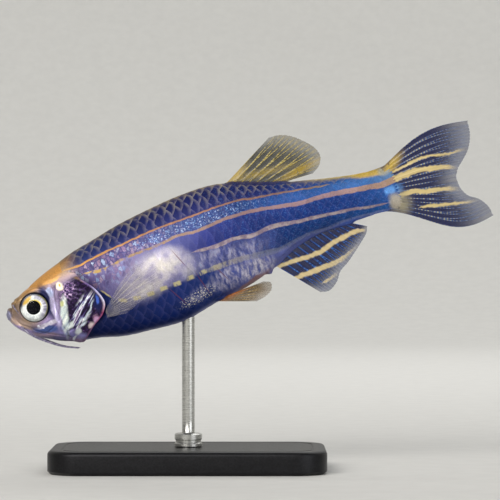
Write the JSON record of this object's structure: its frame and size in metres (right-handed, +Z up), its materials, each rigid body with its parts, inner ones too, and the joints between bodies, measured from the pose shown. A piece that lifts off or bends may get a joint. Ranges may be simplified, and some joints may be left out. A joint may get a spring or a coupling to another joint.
{
  "type": "zebra danio display model",
  "caption": "Life-size zebra danio, a slim blue fish with golden stripes, swimming nose down on a flat base with one rod.",
  "frame": {"origin": "on the surface the stand rests on, under the middle of the whole model's box", "axes": "+X from nose to tail, +Y to the fish's right flank, +Z up; the camera of the picture looks along +Y at the left flank"},
  "size_m": [0.046, 0.015, 0.033],
  "materials": {
    "head_skin": "moist skin, golden brown on top of the head",
    "jaw_skin": "moist mauve skin",
    "gill_cover": "silver and violet mirror-like skin",
    "eye": "silver iris, black pupil, clear cornea",
    "barbel": "moist mauve skin",
    "body_skin": "iridescent blue scales with copper stripes",
    "banded_fin": "clear fin with yellow and navy bands",
    "amber_fin": "clear amber fin",
    "base": "black satin",
    "rod": "fine brushed"
  },
  "bodies": {
    "root": {"head": "head_skin", "lower_jaw": "jaw_skin", "gill_cover_left": "gill_cover", "gill_cover_right": "gill_cover", "eye_left": "eye", "eye_right": "eye", "mouth_barbel_left": "barbel", "mouth_barbel_right": "barbel", "snout_barbel_left": "barbel", "snout_barbel_right": "barbel", "shoulder_and_belly": "body_skin", "mid_body": "body_skin", "tail_stem": "body_skin", "dorsal_fin": "banded_fin", "anal_fin": "banded_fin", "caudal_fin_upper": "banded_fin", "caudal_fin_lower": "banded_fin", "pectoral_fin_left": "amber_fin", "pectoral_fin_right": "amber_fin", "pelvic_fin_left": "amber_fin", "pelvic_fin_right": "amber_fin", "stand_base": "base", "stand_rod": "rod"}
  },
  "joints": []
}
